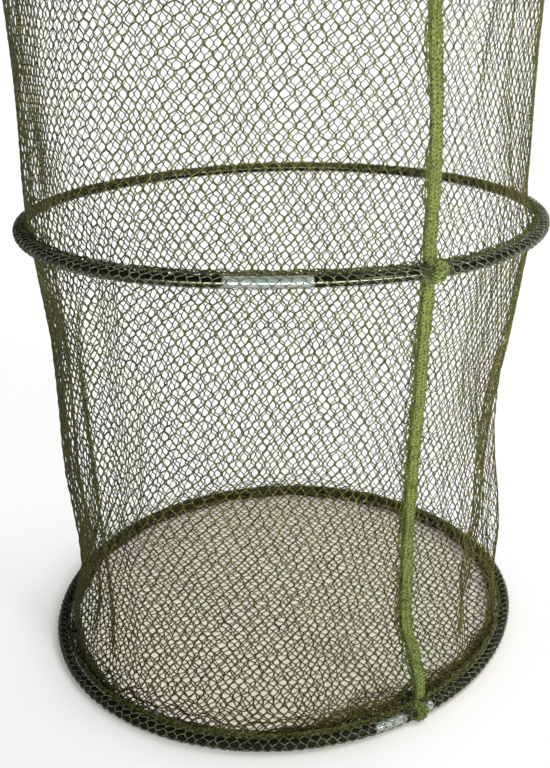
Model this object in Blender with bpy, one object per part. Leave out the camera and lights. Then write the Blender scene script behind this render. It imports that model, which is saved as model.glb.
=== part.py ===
"""Keep net: a knotless net bag on three hoops, each hoop run through a hem of the net.

Metres, +Z up. The origin is the middle of the mouth hoop, where the net is held, and the
other two hoops hang below it. The front is -Y. An azimuth turns from there towards +X.
"""
import math

import bmesh
import bpy
from mathutils import Vector
from mathutils.geometry import intersect_line_sphere_2d

TURN = math.tau

# Space left between two pieces that touch, and the reach of a cutter past what it cuts
GAP = 0.0003
OVERRUN = 0.002
WELD = 0.000001

# Hoops: a galvanised wire in a black tube, whose ends meet in a clear joiner
HOOP_RADIUS = 0.200
HOOP_SPACING = 0.355
WIRE_RADIUS = 0.00175
WIRE_END_GAP = 0.0010
TUBE_WALL = 0.0017
JOINER_LENGTH = 0.055
MOUTH_JOINER_AZIMUTH = math.radians(150)
MIDDLE_JOINER_AZIMUTH = math.radians(-2)
BASE_JOINER_AZIMUTH = math.radians(28.4)
HOOP_STEP = math.radians(10)
WIRE_SIDES = 6
TUBE_SIDES = 8

# Hems: the net turned round the hoop, and the gathered seam that closes it on the inside
CASING_THICKNESS = 0.0007
CASING_HALF_ANGLE = math.radians(160)
CASING_STEPS = 7
SEAM_RADIUS = 0.0013
SEAM_SIDES = 6

# Lashings: seam tape wrapped round each hoop
LASHING_WIDTH = 0.011
LASHING_THICKNESS = 0.0011
LASHING_CROWN = 0.00035
LASHING_HALF_ANGLE = math.radians(125)
BASE_LASHING_LOW_ANGLE = math.radians(-42)
LASHING_STEPS = 6

# Seam tapes: knitted tape down the outside of each wall
TAPE_WIDTH = 0.010
TAPE_THICKNESS = 0.0018
TAPE_EDGE_THICKNESS = 0.0010
TAPE_AZIMUTH = math.radians(29.5)
BASE_TAPE_AZIMUTH = math.radians(32.3)

# Net walls: slack tubes of diamond net that draw in between the hoops and fold on the right
WALL_THICKNESS = 0.0008
WALL_STRAND_WIDTH = 0.004
WALL_MESHES = 18
WALL_HALF_ROWS = 7
ROW_POWER = 1.25
UPPER_DRAW = 0.0035
LOWER_DRAW = 0.021
LOWER_DRAW_POWER = 0.8
SLUMP_SHARE = 0.045
FOLD_DEPTH = 0.008
FOLD_WIDTH = math.radians(9)
UPPER_FOLD_AZIMUTHS = (math.radians(62), math.radians(88))
LOWER_FOLD_AZIMUTHS = (math.radians(56), math.radians(80), math.radians(-118))
FOLD_LEAN = math.radians(14)

# Bottom net: a flat disc of diamond mesh inside the base hoop
BOTTOM_THICKNESS = 0.0012
MESH_WIDTH = 0.047
MESH_HEIGHT = 0.047
STRAND_WIDTH = 0.0022
RIM_WIDTH = 0.0035
RIM_SIDES = 72
SMALLEST_GAP_SHARE = 0.15

SHARP_ANGLE = math.radians(60)

tube_bore = WIRE_RADIUS + GAP
tube_radius = tube_bore + TUBE_WALL
casing_bore = tube_radius + GAP
casing_radius = casing_bore + CASING_THICKNESS
hoop_sag = HOOP_RADIUS * (1 - math.cos(HOOP_STEP / 2))
joiner_half_angle = JOINER_LENGTH / HOOP_RADIUS / 2
lashing_half_angle = LASHING_WIDTH / HOOP_RADIUS / 2


def circumscribed(radius, step):
    """The corner radius of a polygon whose flats lie at this radius."""
    return radius / math.cos(step / 2)


casing_step = 2 * CASING_HALF_ANGLE / CASING_STEPS
casing_corner = circumscribed(casing_radius, casing_step)
lashing_bore = casing_corner + GAP
lashing_radius = lashing_bore + LASHING_THICKNESS
lip_reach = -casing_corner * math.cos(CASING_HALF_ANGLE)
seam_inset = lip_reach + GAP + WALL_THICKNESS / 2
wall_edge_radius = HOOP_RADIUS - seam_inset - hoop_sag
wall_edge_rise = SEAM_RADIUS + GAP
wall_height = HOOP_SPACING - 2 * wall_edge_rise


def clear_scene():
    for item in list(bpy.data.objects):
        bpy.data.objects.remove(item)


def material(name, colour, roughness, metallic=0.0, alpha=1.0):
    """A Principled material, its colour linear red, green and blue."""
    made = bpy.data.materials.new(name)
    made.use_nodes = True
    shader = made.node_tree.nodes["Principled BSDF"]
    shader.inputs["Base Color"].default_value = (*colour, 1.0)
    shader.inputs["Roughness"].default_value = roughness
    shader.inputs["Metallic"].default_value = metallic
    shader.inputs["Alpha"].default_value = alpha
    return made


FINISHES = {
    "wire": ((0.55, 0.56, 0.57), 0.35, 1.0),
    "tube": ((0.012, 0.012, 0.011), 0.3),
    "joiner": ((0.55, 0.62, 0.62), 0.15, 0.0, 0.45),
    "net": ((0.12, 0.15, 0.045), 0.75),
    "seam": ((0.09, 0.115, 0.035), 0.8),
    "tape": ((0.16, 0.28, 0.03), 0.85),
}


def add_empty(name, parent, drop):
    """A hoop's own place, on the axis that it slides along."""
    empty = bpy.data.objects.new(name, None)
    empty.location = (0, 0, -drop)
    empty.parent = parent
    bpy.context.collection.objects.link(empty)
    return empty


def add_piece(name, bm, finish, parent, smooth=True):
    """Makes an object of its own from the finished mesh, under its hoop's empty."""
    bmesh.ops.recalc_face_normals(bm, faces=bm.faces)
    mesh = bpy.data.meshes.new(name)
    bm.to_mesh(mesh)
    bm.free()
    if smooth:
        mesh.shade_smooth()
        mesh.set_sharp_from_angle(angle=SHARP_ANGLE)
    mesh.materials.append(material(name, *FINISHES[finish]))
    piece = bpy.data.objects.new(name, mesh)
    piece.parent = parent
    bpy.context.collection.objects.link(piece)
    return piece


def at(azimuth, radius, height):
    return Vector((radius * math.sin(azimuth), -radius * math.cos(azimuth), height))


def round_outline(radius, sides, inset=0.0):
    """A polygon in the hoop's section, as distances out from its middle and up."""
    turns = [TURN * (side + 0.5) / sides for side in range(sides)]
    return [(radius * math.cos(turn) - inset, radius * math.sin(turn)) for turn in turns]


def wrap_outline(bore, outer, low, high, steps):
    """A wrap's section, open towards the hoop's axis: its outer corners, then its bore's."""
    step = (high - low) / steps
    turns = [low + step * index for index in range(steps + 1)]
    out = circumscribed(outer, step)
    into = circumscribed(bore, step)
    corners = [(out * math.cos(turn), out * math.sin(turn)) for turn in turns]
    return corners + [(into * math.cos(turn), into * math.sin(turn)) for turn in reversed(turns)]


def spans_between(start, end, keys):
    """The arc from start to end, split at the key azimuths: (start, end, steps) for each."""
    inner = {key + turn for key in keys for turn in (-TURN, 0, TURN) if start < key + turn < end}
    marks = sorted({start, end} | inner)
    return [(low, high, max(1, round((high - low) / HOOP_STEP))) for low, high in zip(marks, marks[1:])]


def swept(bm, outlines, spans, start_inset=0.0, end_inset=0.0):
    """Spins closed outlines about the hoop's axis. Returns the edges at both ends, per outline."""
    spans = [list(span) for span in spans]
    spans[0][0] += start_inset
    spans[-1][1] -= end_inset
    ends = []
    for outline in outlines:
        verts = [bm.verts.new(at(spans[0][0], HOOP_RADIUS + out, up)) for out, up in outline]
        first = [bm.edges.new(pair) for pair in zip(verts, verts[1:] + verts[:1])]
        last = first
        for low, high, steps in spans:
            made = bmesh.ops.spin(
                bm, geom=last, axis=(0, 0, 1), cent=(0, 0, 0), angle=high - low, steps=steps
            )
            last = [item for item in made["geom_last"] if isinstance(item, bmesh.types.BMEdge)]
        ends.append((first, last))
    return ends


def closed_ring(outline, keys):
    """A section taken all the way round the hoop."""
    bm = bmesh.new()
    start = min(keys)
    swept(bm, [outline], spans_between(start, start + TURN, keys))
    bmesh.ops.remove_doubles(bm, verts=bm.verts, dist=WELD)
    return bm


def tube_arc(start, end, keys):
    """A length of tube round the wire, open at both ends, GAP short of its place at each."""
    bm = bmesh.new()
    shy = GAP / HOOP_RADIUS / 2
    bore = circumscribed(tube_bore, TURN / WIRE_SIDES)
    outlines = [round_outline(tube_radius, TUBE_SIDES), round_outline(bore, WIRE_SIDES)]
    ends = swept(bm, outlines, spans_between(start, end, keys), shy, shy)
    for side in (0, 1):
        edges = [edge for pair in ends for edge in pair[side]]
        bmesh.ops.triangle_fill(bm, edges=edges, use_beauty=True)
    return bm


def wire_ring(joint, keys):
    """The wire, its two ends facing each other inside the joiner."""
    bm = bmesh.new()
    shy = WIRE_END_GAP / HOOP_RADIUS / 2
    outline = round_outline(WIRE_RADIUS, WIRE_SIDES)
    ends = swept(bm, [outline], spans_between(joint, joint + TURN, keys), shy, shy)
    for edges in ends[0]:
        bmesh.ops.edgeloop_fill(bm, edges=edges)
    return bm


def lashing(azimuth, low):
    """Tape wrapped round the hem, thicker at its middle than at its edges."""
    bm = bmesh.new()
    outline = wrap_outline(lashing_bore, lashing_radius, low, LASHING_HALF_ANGLE, LASHING_STEPS)
    outer = len(outline) // 2
    crowned = [
        (out * (1 + LASHING_CROWN / lashing_radius), up * (1 + LASHING_CROWN / lashing_radius))
        for out, up in outline[:outer]
    ] + outline[outer:]
    rings = []
    for turn, section in ((-1, outline), (0, crowned), (1, outline)):
        place = azimuth + turn * lashing_half_angle
        rings.append([bm.verts.new(at(place, HOOP_RADIUS + out, up)) for out, up in section])
    for here, after in zip(rings, rings[1:]):
        for index in range(len(here)):
            bm.faces.new((here[index - 1], here[index], after[index], after[index - 1]))
    for ring in (rings[0], rings[-1]):
        for index in range(outer - 1):
            facing = 2 * outer - 1 - index
            bm.faces.new((ring[index], ring[index + 1], ring[facing - 1], ring[facing]))
    return bm


def fold(azimuth, share, places):
    """How far the folds draw the wall in, deepest at half height and none at the hoops."""
    hang = math.sin(math.pi * share)
    depth = 0.0
    for place in places:
        away = (azimuth - place - FOLD_LEAN * (share - 0.5) + math.pi) % TURN - math.pi
        depth += math.exp(-((away / FOLD_WIDTH) ** 2))
    return FOLD_DEPTH * hang * depth


def upper_wall_radius(azimuth, share):
    """The upper wall, from the middle hoop at share 0 to the mouth at 1."""
    draw = UPPER_DRAW * 4 * share * (1 - share)
    return wall_edge_radius - draw - fold(azimuth, share, UPPER_FOLD_AZIMUTHS)


def lower_wall_radius(azimuth, share):
    """The lower wall: it draws in all the way down, then slumps out to the base hoop."""
    slump = 1 - math.exp(-share / SLUMP_SHARE)
    draw = LOWER_DRAW * (1 - share) ** LOWER_DRAW_POWER * slump
    return wall_edge_radius - draw - fold(azimuth, share, LOWER_FOLD_AZIMUTHS)


def row_shares():
    """Heights of the wall's half rows of mesh as shares, closer together near the base."""
    return [(index / WALL_HALF_ROWS) ** ROW_POWER for index in range(WALL_HALF_ROWS + 1)]


def chord_radius(radius_at, azimuth, share):
    """The wall's radius where its strands run straight from one row to the next."""
    rows = row_shares()
    low, high = next(pair for pair in zip(rows, rows[1:]) if share <= pair[1])
    way = (share - low) / (high - low)
    return radius_at(azimuth, low) * (1 - way) + radius_at(azimuth, high) * way


def opening_of(below, above):
    """The rise of a diamond's middle over its widest level, and how much of it is open."""
    half_width = wall_edge_radius * TURN / WALL_MESHES / 2
    slant_below = half_width / math.hypot(half_width, below)
    slant_above = half_width / math.hypot(half_width, above)
    rise = (above * slant_above - below * slant_below) / (slant_above + slant_below)
    to_side = (above - rise) * slant_above
    return rise, 1 - WALL_STRAND_WIDTH / 2 / to_side


def net_wall(name, radius_at, parent):
    """A slack tube of diamond net between two hoops. Its parent is the hoop above it."""
    bm = bmesh.new()
    rows = row_shares()
    columns = 2 * WALL_MESHES
    knots = {}

    def vertex(column, share):
        turn = TURN * column / columns
        height = wall_edge_rise - HOOP_SPACING + wall_height * share
        return bm.verts.new(at(turn, radius_at(turn, share), height))

    for row, share in enumerate(rows):
        low = max(row - 1, 0)
        high = min(row + 1, WALL_HALF_ROWS)
        rise, open_share = opening_of((share - rows[low]) * wall_height, (rows[high] - share) * wall_height)
        middle = share + rise / wall_height
        for column in range(1 - row % 2, columns, 2):
            diamond = ((column - 1, row), (column, low), (column + 1, row), (column, high))
            outer = []
            gap = []
            for side, level in diamond:
                key = (side % columns, level)
                if key not in knots:
                    knots[key] = vertex(side, rows[level])
                outer.append(knots[key])
                reach = open_share * (rows[level] - middle)
                gap.append(vertex(column + open_share * (side - column), middle + reach))
            for index in range(len(diamond)):
                bm.faces.new((outer[index - 1], outer[index], gap[index], gap[index - 1]))
    wall = add_piece(name, bm, "net", parent)
    thick = wall.modifiers.new("thickness", "SOLIDIFY")
    thick.thickness = WALL_THICKNESS
    thick.offset = 0.0
    return wall


def seam_tape(name, radius_at, low_azimuth, parent):
    """Knitted tape on the outside of a wall, from hoop to hoop."""
    bm = bmesh.new()
    end = (lashing_radius + LASHING_CROWN + GAP - wall_edge_rise) / wall_height
    shares = [end, *(share for share in row_shares() if end < share < 1 - end), 1 - end]
    half = TAPE_WIDTH / 2
    across = (
        (-half, 0),
        (half, 0),
        (half, TAPE_EDGE_THICKNESS),
        (0, TAPE_THICKNESS),
        (-half, TAPE_EDGE_THICKNESS),
    )
    rings = []
    for share in shares:
        height = wall_edge_rise - HOOP_SPACING + wall_height * share
        middle = low_azimuth + (TAPE_AZIMUTH - low_azimuth) * share
        spread = half / HOOP_RADIUS
        wall = max(chord_radius(radius_at, middle + side * spread, share) for side in (-1, 0, 1))
        foot = wall + WALL_THICKNESS + GAP
        rings.append(
            [bm.verts.new(at(middle + side / foot, foot + out, height)) for side, out in across]
        )
    for here, after in zip(rings, rings[1:]):
        for index in range(len(across)):
            bm.faces.new((here[index - 1], here[index], after[index], after[index - 1]))
    for ring in (rings[0], rings[-1]):
        bm.faces.new(ring)
    return add_piece(name, bm, "tape", parent)


def area_of(corners):
    turned = zip(corners, corners[1:] + corners[:1])
    return abs(sum(here.cross(after) for here, after in turned)) / 2


def trimmed(corners, radius):
    """The corners of a gap in the mesh, cut back to a circle about the axis."""
    kept = []
    for here, after in zip(corners, corners[1:] + corners[:1]):
        if here.length <= radius:
            kept.append(here)
        crossings = intersect_line_sphere_2d(here, after, Vector((0, 0)), radius, True)
        found = [point for point in crossings if point is not None]
        kept.extend(sorted(found, key=lambda point: (point - here).length))
    return kept


def mesh_gaps(radius):
    """The diamond gaps of the bottom net that lie inside its rim."""
    half_width = MESH_WIDTH / 2
    half_height = MESH_HEIGHT / 2
    to_side = half_width * half_height / math.hypot(half_width, half_height)
    open_share = 1 - STRAND_WIDTH / 2 / to_side
    corners = [Vector(corner) * open_share for corner in (
        (half_width, 0), (0, half_height), (-half_width, 0), (0, -half_height))]
    smallest = area_of(corners) * SMALLEST_GAP_SHARE
    columns = math.ceil(radius / half_width)
    rows = math.ceil(radius / half_height)
    gaps = []
    for column in range(-columns, columns + 1):
        for row in range(-rows, rows + 1):
            if (column + row) % 2:
                continue
            middle = Vector((column * half_width, row * half_height))
            gap = trimmed([middle + corner for corner in corners], radius)
            if len(gap) > 2 and area_of(gap) > smallest:
                gaps.append(gap)
    return gaps


def casing_drop():
    """How far the hem reaches below the middle of its hoop."""
    outline = wrap_outline(casing_bore, casing_radius, -CASING_HALF_ANGLE, CASING_HALF_ANGLE, CASING_STEPS)
    return -min(up for out, up in outline)


def bottom_rim_radius():
    """The bottom net's edge: GAP clear of the hem, where its top meets the hem's underside."""
    top = casing_drop() - BOTTOM_THICKNESS
    beside = math.sqrt(max(casing_corner**2 - top**2, 0))
    return HOOP_RADIUS - hoop_sag - beside - GAP


def extruded(bm, faces, rise):
    made = bmesh.ops.extrude_face_region(bm, geom=faces)
    lifted = [item for item in made["geom"] if isinstance(item, bmesh.types.BMVert)]
    bmesh.ops.translate(bm, verts=lifted, vec=(0, 0, rise))


def bottom_net(parent):
    """A disc of net that lies on the ground, with its gaps cut out of it."""
    radius = bottom_rim_radius()
    floor = -casing_drop()
    cut = bmesh.new()
    for gap in mesh_gaps(radius - RIM_WIDTH):
        corners = [cut.verts.new((*point, floor - OVERRUN)) for point in gap]
        extruded(cut, [cut.faces.new(corners)], BOTTOM_THICKNESS + 2 * OVERRUN)
    cutter = add_piece("bottom_net_gaps", cut, "net", parent, smooth=False)
    cutter.hide_render = True
    cutter.display_type = "WIRE"
    disc = bmesh.new()
    bmesh.ops.create_circle(disc, cap_ends=True, radius=radius, segments=RIM_SIDES)
    bmesh.ops.translate(disc, verts=disc.verts, vec=(0, 0, floor))
    extruded(disc, disc.faces[:], BOTTOM_THICKNESS)
    net = add_piece("bottom_net", disc, "net", parent, smooth=False)
    opened = net.modifiers.new("gaps", "BOOLEAN")
    opened.operation = "DIFFERENCE"
    opened.solver = "EXACT"
    opened.object = cutter
    return net


def hoop(name, parent, joiner_azimuth, lashing_azimuth, lashing_low):
    """One hoop with its hem: wire, tube, joiner, casing, seam and lashing."""
    start = joiner_azimuth - joiner_half_angle
    end = joiner_azimuth + joiner_half_angle
    beside = (lashing_azimuth - lashing_half_angle, lashing_azimuth + lashing_half_angle)
    keys = (start, joiner_azimuth, end, *beside)
    casing = wrap_outline(casing_bore, casing_radius, -CASING_HALF_ANGLE, CASING_HALF_ANGLE, CASING_STEPS)
    add_piece(f"{name}_hoop_wire", wire_ring(joiner_azimuth, keys), "wire", parent)
    add_piece(f"{name}_hoop_tube", tube_arc(end, start + TURN, keys), "tube", parent)
    add_piece(f"{name}_hoop_joiner", tube_arc(start, end, keys), "joiner", parent)
    add_piece(f"{name}_hem_casing", closed_ring(casing, keys), "net", parent)
    seam = round_outline(SEAM_RADIUS, SEAM_SIDES, seam_inset)
    add_piece(f"{name}_hem_seam", closed_ring(seam, keys), "seam", parent)
    add_piece(f"{name}_lashing", lashing(lashing_azimuth, lashing_low), "tape", parent)


def keep_net():
    clear_scene()
    mouth = add_empty("mouth_hoop", None, 0)
    middle = add_empty("middle_hoop", mouth, HOOP_SPACING)
    base = add_empty("base_hoop", middle, HOOP_SPACING)
    hoop("mouth", mouth, MOUTH_JOINER_AZIMUTH, TAPE_AZIMUTH, -LASHING_HALF_ANGLE)
    hoop("middle", middle, MIDDLE_JOINER_AZIMUTH, TAPE_AZIMUTH, -LASHING_HALF_ANGLE)
    hoop("base", base, BASE_JOINER_AZIMUTH, BASE_TAPE_AZIMUTH, BASE_LASHING_LOW_ANGLE)
    net_wall("upper_net_wall", upper_wall_radius, mouth)
    net_wall("lower_net_wall", lower_wall_radius, middle)
    seam_tape("upper_seam_tape", upper_wall_radius, TAPE_AZIMUTH, mouth)
    seam_tape("lower_seam_tape", lower_wall_radius, BASE_TAPE_AZIMUTH, middle)
    bottom_net(base)


keep_net()
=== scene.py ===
"""The keep net's looks: every strand of its knotless netting, its hoops, hems and seam tapes.

Metres, +Z up, origin at the middle of the mouth hoop, front at -Y. An azimuth turns from the
front towards +X. A strand's place is given on the lattice of its net: columns round the net
or across it, and half rows of mesh along it.
"""
import math
from functools import partial
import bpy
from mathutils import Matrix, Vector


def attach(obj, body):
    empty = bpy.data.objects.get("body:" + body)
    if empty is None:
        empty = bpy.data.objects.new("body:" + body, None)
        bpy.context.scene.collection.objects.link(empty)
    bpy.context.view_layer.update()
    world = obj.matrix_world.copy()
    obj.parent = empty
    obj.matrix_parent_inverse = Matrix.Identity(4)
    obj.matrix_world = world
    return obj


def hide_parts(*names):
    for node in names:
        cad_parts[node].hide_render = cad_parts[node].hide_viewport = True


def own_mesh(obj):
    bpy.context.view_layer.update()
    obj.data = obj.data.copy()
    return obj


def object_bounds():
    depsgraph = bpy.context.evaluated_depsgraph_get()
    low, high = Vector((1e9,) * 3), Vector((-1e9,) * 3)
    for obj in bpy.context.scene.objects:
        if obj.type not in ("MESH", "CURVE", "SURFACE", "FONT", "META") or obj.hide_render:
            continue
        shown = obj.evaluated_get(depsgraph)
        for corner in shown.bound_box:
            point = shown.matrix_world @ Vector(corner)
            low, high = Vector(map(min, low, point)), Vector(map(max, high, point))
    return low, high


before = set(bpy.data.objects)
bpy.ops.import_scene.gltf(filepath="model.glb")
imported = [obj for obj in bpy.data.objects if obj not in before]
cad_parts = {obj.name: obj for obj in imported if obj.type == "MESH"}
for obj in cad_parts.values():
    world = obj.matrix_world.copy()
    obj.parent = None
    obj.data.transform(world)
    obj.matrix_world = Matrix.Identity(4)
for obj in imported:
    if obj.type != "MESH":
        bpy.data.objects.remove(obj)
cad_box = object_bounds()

from types import SimpleNamespace

import bpy
import numpy as np
from mathutils import Matrix

TURN = math.tau
MM = 0.001

# Sizes that part.py gives the same pieces
HOOP_RADIUS = 0.200
HOOP_SPACING = 0.355
TUBE_RADIUS = 0.00375
TUBE_BORE = 0.00205
WIRE_RADIUS = 0.00175
WIRE_END_GAP = 0.0010
TUBE_END_GAP = 0.0003
JOINER_LENGTH = 0.055
WALL_EDGE_RADIUS = 0.1937
WALL_EDGE_RISE = 0.0016
LASHING_WIDTH = 0.011
LASHING_BORE = 0.0044
LASHING_RADIUS = 0.0063
LASHING_HIGH = math.radians(158)
FLOOR = cad_box[0].z
FLOOR_GAP = 0.0001

HOOP_HEIGHTS = {"mouth": 0.0, "middle": -HOOP_SPACING, "base": -2 * HOOP_SPACING}
# In degrees: each hoop's joiner and lashing round the net, and where round the tube its lashing starts
HOOP_PLACES = {"mouth": (150, 29.5, -125), "middle": (-2, 29.5, -125), "base": (28.4, 32.3, -42)}
WALL_HEIGHT = HOOP_SPACING - 2 * WALL_EDGE_RISE

# Netting: 2 mm bars and rounded legs, seen in the photograph at 8 to 9 mm by 12 mm
BOTTOM_YARN = 0.00050
HEM_YARN = 0.00035
SEAM_YARN = 0.00026
HEAP_YARN = 0.00034
LOOSE_YARN = 0.00042
YARN_FLATNESS = 0.82
YARN_SIDES = 4
BAR_SIDE = 0.024
BAR_STAGGER = 0.00018
LEG_STEPS = (0.0, 0.22, 0.5, 0.78)
LEG_EASE = (0.0, 0.03, 0.5, 0.97)
EDGE_HOLD = 0.2
LATTICE_STEP = 0.02
BAKE_GAP = 0.1
# How many times its size a strand is thick, by azimuth in degrees. The walls' netting is slacker
# and fuller on the left, and the seams are gathered most at the front.
LOWER_FULL = (
    (-150, 1.1), (-105, 1.1), (-88, 1.15), (-72, 1.5), (-40, 1.3), (-10, 1), (30, 0.95), (60, 0.88),
    (90, 0.88), (140, 1))
SEAM_FULL = ((-110, 1.1), (-60, 1.5), (0, 1.75), (60, 1.5), (110, 1.1), (180, 1.0))
EVEN = ((0, 1.0),)

# How the sprung hoops leave their true circles, by azimuth in degrees: millimetres up for the
# middle one, which is not quite flat, and millimetres out for both
MIDDLE_WARP = (
    (-90, -2.4), (-45, -4.6), (0, -1.2), (45, -3.8), (90, 0.2), (135, 1.8), (180, 1.4), (225, -2))
MIDDLE_SWELL = ((-90, 0.8), (-45, 0.6), (0, 0.4), (45, 1.2), (70, 2.9), (100, 3.6), (130, 2), (180, 0))
BASE_SWELL = (
    (-160, -1.7), (-135, -4.2), (-115, -5.4), (-100, -5.6), (-80, -1.6), (-60, 3.1), (-40, 6.4), (-20, 4.0),
    (0, -0.6), (15, -4), (30, -6.3), (50, -6.5), (70, -3.4), (85, 1.5), (100, 6.5), (120, 7), (135, 6.4),
    (160, 4.6), (180, 1.7))
SMOOTH_DEGREES = 12

# Camera, fitted to the two hoops in the photograph
CAMERA_PLACE = (0.0, -0.7744, -0.1936)
CAMERA_LENS = 46.1
CAMERA_PITCH = math.radians(21.77)
CAMERA_YAW = -0.0062
CAMERA_ROLL = -0.0122


# ---- Meshes ----

def at(azimuth, radius, height):
    azimuth, radius, height = np.broadcast_arrays(azimuth, radius, height)
    return np.stack([radius * np.sin(azimuth), -radius * np.cos(azimuth), height], -1)


def unit(vectors):
    return vectors / np.maximum(np.linalg.norm(vectors, axis=-1, keepdims=True), 1e-12)


def wrapped(angle):
    return (angle + math.pi) % TURN - math.pi


def by_azimuth(table, azimuth):
    """A smooth curve round the net through a table of degrees and sizes."""
    places, sizes = zip(*table)
    line = np.interp(np.arange(360), places, sizes, period=360)
    shifts = range(-SMOOTH_DEGREES, SMOOTH_DEGREES + 1)
    smooth = np.mean([np.roll(line, shift) for shift in shifts], axis=0)
    return np.interp(azimuth, np.radians(np.arange(360)), smooth, period=TURN)


def by_share(table, share):
    """Straight lines through a table of shares and sizes."""
    return np.interp(share, *zip(*table))


def sprung(points):
    """Points moved with the hoops' real shape, and nothing left below the ground."""
    x, y, z = np.moveaxis(points, -1, 0)
    azimuth = np.arctan2(x, -y)
    near_middle = np.clip(1 - np.abs(z + HOOP_SPACING) / HOOP_SPACING, 0, 1)
    near_base = np.clip(-z / HOOP_SPACING - 1, 0, 1)
    rise = near_middle * by_azimuth(MIDDLE_WARP, azimuth) * MM
    swell = near_middle * by_azimuth(MIDDLE_SWELL, azimuth) + near_base * by_azimuth(BASE_SWELL, azimuth)
    grown = 1 + swell * MM / HOOP_RADIUS
    return np.stack([x * grown, y * grown, np.maximum(z + rise, FLOOR + FLOOR_GAP)], -1)


def add_object(name, finish, points, faces, uvs=None):
    """Makes an object from arrays of points and faces, with a place on the bake sheet per corner."""
    mesh = bpy.data.meshes.new(name)
    mesh.from_pydata(points.reshape(-1, 3), [], faces)
    mesh.shade_smooth()
    if uvs is not None:
        layer = mesh.uv_layers.new(name="OFBake")
        layer.data.foreach_set("uv", np.ascontiguousarray(uvs, dtype=np.float32).ravel())
    mesh.materials.append(finish)
    made = bpy.data.objects.new(name, mesh)
    bpy.context.scene.collection.objects.link(made)
    return made


def add_piece(name, finish, form, hoop, slot, *nodes, fold=None):
    """Makes a piece from its points, faces and bake places, moved with the hoops' real shape, and ties it
    to its hoop. It hides the solids it stands for, and where a fold is given, the piece gets a mesh of
    its own. Its slot is not used."""
    points, faces, uvs = form
    piece = add_object(name, finish, sprung(points), faces, uvs)
    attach(piece, f"{hoop}_hoop")
    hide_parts(*nodes)
    if fold:
        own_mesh(piece)
    return piece


def strands(centres, normals, half_width, half_depth, kept=None):
    """Closed tubes along rows of centres. Returns their points, faces and bake places."""
    count, length = centres.shape[:2]
    along = unit(np.gradient(centres, axis=1))
    side = unit(np.cross(along, normals))
    out = np.cross(side, along)
    turns = TURN * np.arange(YARN_SIDES) / YARN_SIDES
    wide = np.cos(turns)[:, None] * np.asarray(half_width)[..., None, None]
    deep = np.sin(turns)[:, None] * np.asarray(half_depth)[..., None, None]
    points = centres[:, :, None] + side[:, :, None] * wide + out[:, :, None] * deep
    if kept is None:
        kept = np.ones((count, length), bool)
    index = np.arange(count * length * YARN_SIDES).reshape(count, length, YARN_SIDES)
    after = np.roll(index, -1, axis=2)
    quads = np.stack([index[:, :-1], index[:, 1:], after[:, 1:], after[:, :-1]], -1)
    strand, place, corner = np.indices(index.shape)
    row_start = (strand + BAKE_GAP) / count
    u = place / (length - 1)
    low = row_start + (1 - 2 * BAKE_GAP) * corner / YARN_SIDES / count
    high = row_start + (1 - 2 * BAKE_GAP) * (corner + 1) / YARN_SIDES / count
    here, there = np.stack([u, low], -1), np.stack([u, high], -1)
    uvs = np.stack([here[:, :-1], here[:, 1:], there[:, 1:], there[:, :-1]], -2)
    inside = kept[:, :-1] & kept[:, 1:]
    quads, uvs = quads[inside].reshape(-1, 4), uvs[inside].reshape(-1, 4, 2)
    rows = np.flatnonzero(inside.any(axis=1))
    first = inside[rows].argmax(axis=1)
    last = length - 1 - inside[rows][:, ::-1].argmax(axis=1)
    caps = np.concatenate([index[rows, first], index[rows, last][:, ::-1]])
    cap_uvs = np.concatenate([here[rows, first], here[rows, last]])
    faces = np.concatenate([quads, caps])
    used, faces = np.unique(faces, return_inverse=True)
    return points.reshape(-1, 3)[used], faces.reshape(-1, 4), np.concatenate([uvs, cap_uvs])


def shell(outer, inner, wrap=False):
    """A closed skin between two grids of points. Where wrap is set, it closes on itself along its
    first axis, as round a hoop. Returns its points, faces and bake places."""
    rows, columns = outer.shape[:2]
    index = np.arange(rows * columns).reshape(rows, columns)
    u, v = np.meshgrid(np.arange(rows + 1) / rows, np.arange(columns) / (columns - 1), indexing="ij")
    if wrap:
        index = np.concatenate([index, index[:1]])
    else:
        u = u[:-1] * rows / (rows - 1)
        v = v[:-1]
    top = np.stack([index[:-1, :-1], index[1:, :-1], index[1:, 1:], index[:-1, 1:]], -1)
    place = np.stack([u, v / 2], -1)
    top_uv = np.stack([place[:-1, :-1], place[1:, :-1], place[1:, 1:], place[:-1, 1:]], -2)
    under = top[..., ::-1] + rows * columns
    under_uv = top_uv[..., ::-1, :] + np.array([0, 0.5])
    faces = [top.reshape(-1, 4), under.reshape(-1, 4)]
    uvs = [top_uv.reshape(-1, 4, 2), under_uv.reshape(-1, 4, 2)]
    rims = [(index[:, 0], place[:, 0]), (index[::-1, -1], place[::-1, -1])]
    if not wrap:
        rims += [(index[0, ::-1], place[0, ::-1]), (index[-1], place[-1])]
    for line, spot in rims:
        below = line + rows * columns
        faces.append(np.stack([line[:-1], below[:-1], below[1:], line[1:]], -1))
        uvs.append(np.stack([spot[:-1], spot[:-1], spot[1:], spot[1:]], -2))
    points = np.concatenate([outer.reshape(-1, 3), inner.reshape(-1, 3)])
    return points, np.concatenate(faces), np.concatenate(uvs)


def joined(*parts):
    """Several sets of points, faces and bake places as one, side by side on the bake sheet."""
    points, faces, uvs, first = [], [], [], 0
    for number, (some_points, some_faces, some_uvs) in enumerate(parts):
        points.append(some_points)
        faces.append(some_faces + first)
        uvs.append((some_uvs + np.array([0, number])) / np.array([1, len(parts)]))
        first += len(some_points)
    return np.concatenate(points), np.concatenate(faces), np.concatenate(uvs)


# ---- The lattice that the strands follow ----

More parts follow.
